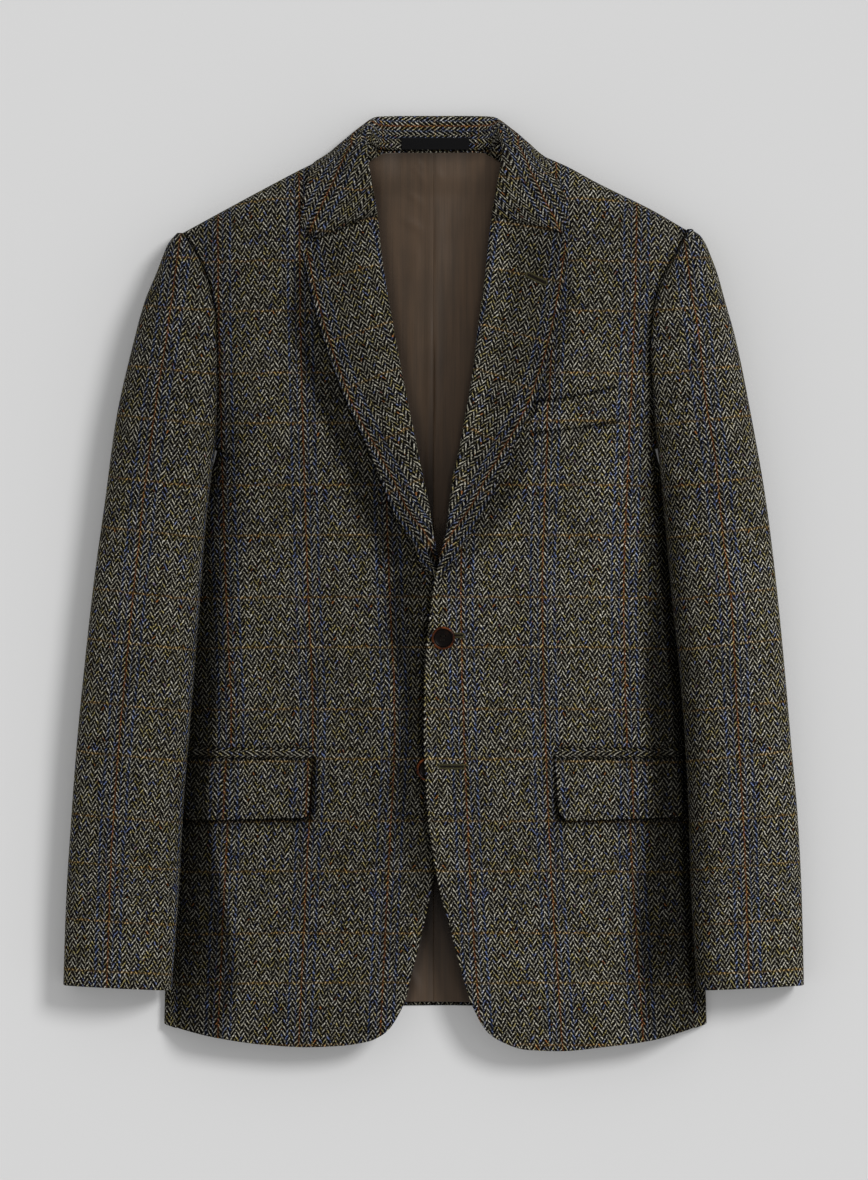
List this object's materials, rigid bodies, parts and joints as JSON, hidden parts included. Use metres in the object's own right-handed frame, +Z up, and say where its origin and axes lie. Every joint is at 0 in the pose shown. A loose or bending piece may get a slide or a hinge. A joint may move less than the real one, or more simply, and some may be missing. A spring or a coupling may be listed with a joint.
{
  "type": "tweed jacket",
  "caption": "Single-breasted herringbone tweed jacket laid flat on its back, with notch lapels, set-in sleeves, flap pockets and a breast welt, lower front open.",
  "frame": {"origin": "centre of the bounding box's bottom face, on the surface that the jacket lies on", "axes": "+X to the wearer's left, +Y from the hem to the collar, +Z up from the surface through the back to the fronts"},
  "size_m": [0.6515, 0.8233, 0.063],
  "materials": {
    "tweed": "matt woollen herringbone tweed with a windowpane check",
    "lining": "satin",
    "label": "matt woven",
    "horn": "polished dark horn with a brown rim"
  },
  "bodies": {
    "root": {"front_left": "tweed", "back_left": "tweed", "side_left": "tweed", "lapel_left": "tweed", "sleeve_left_top": "tweed", "sleeve_left_under": "tweed", "flap_left": "tweed", "jet_left": "tweed", "front_right": "tweed", "back_right": "tweed", "side_right": "tweed", "lapel_right": "tweed", "sleeve_right_top": "tweed", "sleeve_right_under": "tweed", "flap_right": "tweed", "jet_right": "tweed", "collar": "tweed", "breast_welt": "tweed", "lining_left": "lining", "lining_right": "lining", "neck_label": "label", "button_1": "horn", "button_2": "horn"}
  },
  "joints": []
}
